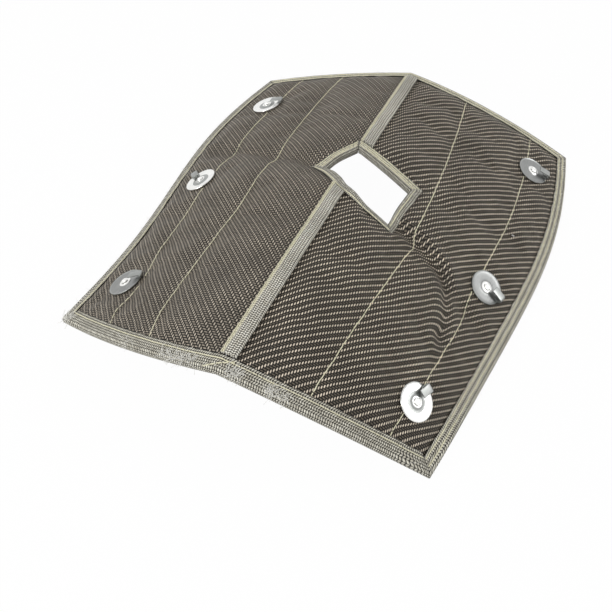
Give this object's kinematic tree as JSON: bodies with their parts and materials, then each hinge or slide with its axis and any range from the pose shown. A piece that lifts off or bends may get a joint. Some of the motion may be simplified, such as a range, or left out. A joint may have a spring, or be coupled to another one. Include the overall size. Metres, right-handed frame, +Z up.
{
  "type": "turbo heat blanket",
  "caption": "Quilted heat blanket that arches over a turbine housing, with a bound flange cutout and hook washers for lacing wire.",
  "frame": {"origin": "under the middle of the blanket, on the surface that its side edges stand on", "axes": "+Z up out of the arch, +Y along the ridge seam towards the back edge, +X towards the panel with the larger part of the cutout"},
  "size_m": [0.303, 0.3492, 0.0768],
  "materials": {
    "woven_cloth": "satin",
    "binding_tape": "matte",
    "stitching_thread": "matte",
    "stainless": "bright rolled"
  },
  "bodies": {
    "root": {"quilted_panel_left": "woven_cloth", "quilted_panel_right": "woven_cloth", "front_binding": "binding_tape", "rear_binding": "binding_tape", "left_binding": "binding_tape", "right_binding": "binding_tape", "cutout_binding_left": "binding_tape", "cutout_binding_front": "binding_tape", "cutout_binding_right": "binding_tape", "cutout_binding_rear": "binding_tape", "seam_tape_front": "binding_tape", "seam_tape_rear": "binding_tape", "hook_washer_front_right": "stainless", "rivet_front_right": "stainless", "backing_washer_front_right": "stainless", "hook_washer_middle_right": "stainless", "rivet_middle_right": "stainless", "backing_washer_middle_right": "stainless", "hook_washer_rear_right": "stainless", "rivet_rear_right": "stainless", "backing_washer_rear_right": "stainless", "hook_washer_front_left": "stainless", "rivet_front_left": "stainless", "backing_washer_front_left": "stainless", "hook_washer_middle_left": "stainless", "rivet_middle_left": "stainless", "backing_washer_middle_left": "stainless", "hook_washer_rear_left": "stainless", "rivet_rear_left": "stainless", "backing_washer_rear_left": "stainless"}
  },
  "joints": []
}
